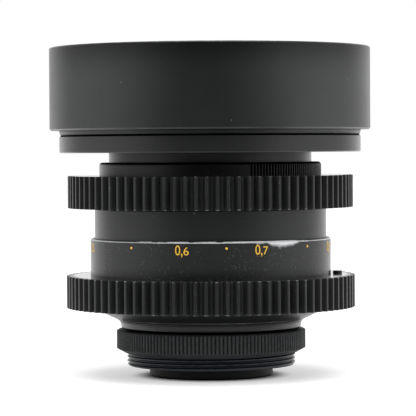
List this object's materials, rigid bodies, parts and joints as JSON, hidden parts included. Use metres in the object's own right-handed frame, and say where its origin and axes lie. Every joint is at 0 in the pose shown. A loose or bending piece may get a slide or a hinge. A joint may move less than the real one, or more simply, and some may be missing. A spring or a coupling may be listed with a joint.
{
  "type": "cinema prime lens",
  "caption": "Manual prime lens on a camera thread, with geared focus and aperture rings, telescoping barrel, bladed iris, coated glass, step-up ring and straight hood.",
  "frame": {"origin": "on the optical axis, at the plane that the rear cell stands on", "axes": "+Z along the optical axis to the front, -Y towards the viewer of the picture"},
  "size_m": [0.08, 0.08, 0.0818],
  "materials": {
    "anodised_black": "satin",
    "scale_black": "satin",
    "gear_black": "matte",
    "mount_black": "satin",
    "thread_steel": "satin",
    "inner_black": "matte",
    "tube_grey": "satin",
    "brass": "satin",
    "screw_steel": "satin",
    "black_screw": "satin",
    "blade_steel": "satin",
    "coated_glass": "polished"
  },
  "bodies": {
    "mount": {"thread_sleeve": "thread_steel", "mount_ring": "mount_black", "mount_barrel": "mount_black", "bearing_ring": "brass", "guide_keys": "brass", "key_screws": "screw_steel", "focus_stop_pin": "screw_steel"},
    "focus": {"focus_ring": "scale_black", "focus_gear": "gear_black", "focus_helicoid": "brass", "focus_grub_screws": "screw_steel", "gear_lock_screw": "black_screw"},
    "optics": {"main_tube": "tube_grey", "outer_barrel": "anodised_black", "barrel_screws": "screw_steel", "front_barrel": "anodised_black", "front_cell": "inner_black", "front_element": "coated_glass", "front_crown": "coated_glass", "front_flint": "coated_glass", "doublet_ring": "inner_black", "front_retaining_ring": "inner_black", "front_trim_ring": "inner_black", "iris_housing": "inner_black", "rear_cell": "inner_black", "rear_flint": "coated_glass", "rear_crown": "coated_glass", "rear_spacer": "inner_black", "rear_element": "coated_glass", "rear_retaining_ring": "inner_black", "step_up_ring": "anodised_black", "hood": "anodised_black"},
    "aperture": {"aperture_ring": "anodised_black", "aperture_gear": "gear_black", "aperture_gear_screw": "screw_steel", "aperture_drive_screw": "screw_steel", "iris_cam_ring": "brass"},
    "blade_1": {"iris_blade_1": "blade_steel"},
    "blade_2": {"iris_blade_2": "blade_steel"},
    "blade_3": {"iris_blade_3": "blade_steel"},
    "blade_4": {"iris_blade_4": "blade_steel"},
    "blade_5": {"iris_blade_5": "blade_steel"},
    "blade_6": {"iris_blade_6": "blade_steel"},
    "blade_7": {"iris_blade_7": "blade_steel"},
    "blade_8": {"iris_blade_8": "blade_steel"}
  },
  "joints": [
    {"name": "focus_turn", "type": "hinge", "parent": "mount", "child": "focus", "pos_m": [0, 0, 0.021], "axis": [0, 0, 1], "range_deg": [0, 230]},
    {"name": "focus_slide", "type": "slide", "parent": "mount", "child": "optics", "axis": [0, 0, 1], "range_m": [0, 0.009]},
    {"name": "aperture_turn", "type": "hinge", "parent": "optics", "child": "aperture", "pos_m": [0, 0, 0.046], "axis": [0, 0, 1], "range_deg": [-20, 34]},
    {"name": "blade_1_swing", "type": "hinge", "parent": "optics", "child": "blade_1", "pos_m": [0.015, 0, 0.0288], "axis": [0, 0, 1], "range_deg": [-14, 23.8]},
    {"name": "blade_2_swing", "type": "hinge", "parent": "optics", "child": "blade_2", "pos_m": [0.01061, 0.01061, 0.0288], "axis": [0, 0, 1], "range_deg": [-14, 23.8]},
    {"name": "blade_3_swing", "type": "hinge", "parent": "optics", "child": "blade_3", "pos_m": [0, 0.015, 0.0288], "axis": [0, 0, 1], "range_deg": [-14, 23.8]},
    {"name": "blade_4_swing", "type": "hinge", "parent": "optics", "child": "blade_4", "pos_m": [-0.01061, 0.01061, 0.0288], "axis": [0, 0, 1], "range_deg": [-14, 23.8]},
    {"name": "blade_5_swing", "type": "hinge", "parent": "optics", "child": "blade_5", "pos_m": [-0.015, 0, 0.0288], "axis": [0, 0, 1], "range_deg": [-14, 23.8]},
    {"name": "blade_6_swing", "type": "hinge", "parent": "optics", "child": "blade_6", "pos_m": [-0.01061, -0.01061, 0.0288], "axis": [0, 0, 1], "range_deg": [-14, 23.8]},
    {"name": "blade_7_swing", "type": "hinge", "parent": "optics", "child": "blade_7", "pos_m": [0, -0.015, 0.0288], "axis": [0, 0, 1], "range_deg": [-14, 23.8]},
    {"name": "blade_8_swing", "type": "hinge", "parent": "optics", "child": "blade_8", "pos_m": [0.01061, -0.01061, 0.0288], "axis": [0, 0, 1], "range_deg": [-14, 23.8]}
  ],
  "couplings": [
    {"joint": "focus_slide", "follows": "focus_turn", "m_per_rad": 0.002242},
    {"joint": "blade_1_swing", "follows": "aperture_turn", "ratio": 0.7},
    {"joint": "blade_2_swing", "follows": "aperture_turn", "ratio": 0.7},
    {"joint": "blade_3_swing", "follows": "aperture_turn", "ratio": 0.7},
    {"joint": "blade_4_swing", "follows": "aperture_turn", "ratio": 0.7},
    {"joint": "blade_5_swing", "follows": "aperture_turn", "ratio": 0.7},
    {"joint": "blade_6_swing", "follows": "aperture_turn", "ratio": 0.7},
    {"joint": "blade_7_swing", "follows": "aperture_turn", "ratio": 0.7},
    {"joint": "blade_8_swing", "follows": "aperture_turn", "ratio": 0.7}
  ]
}
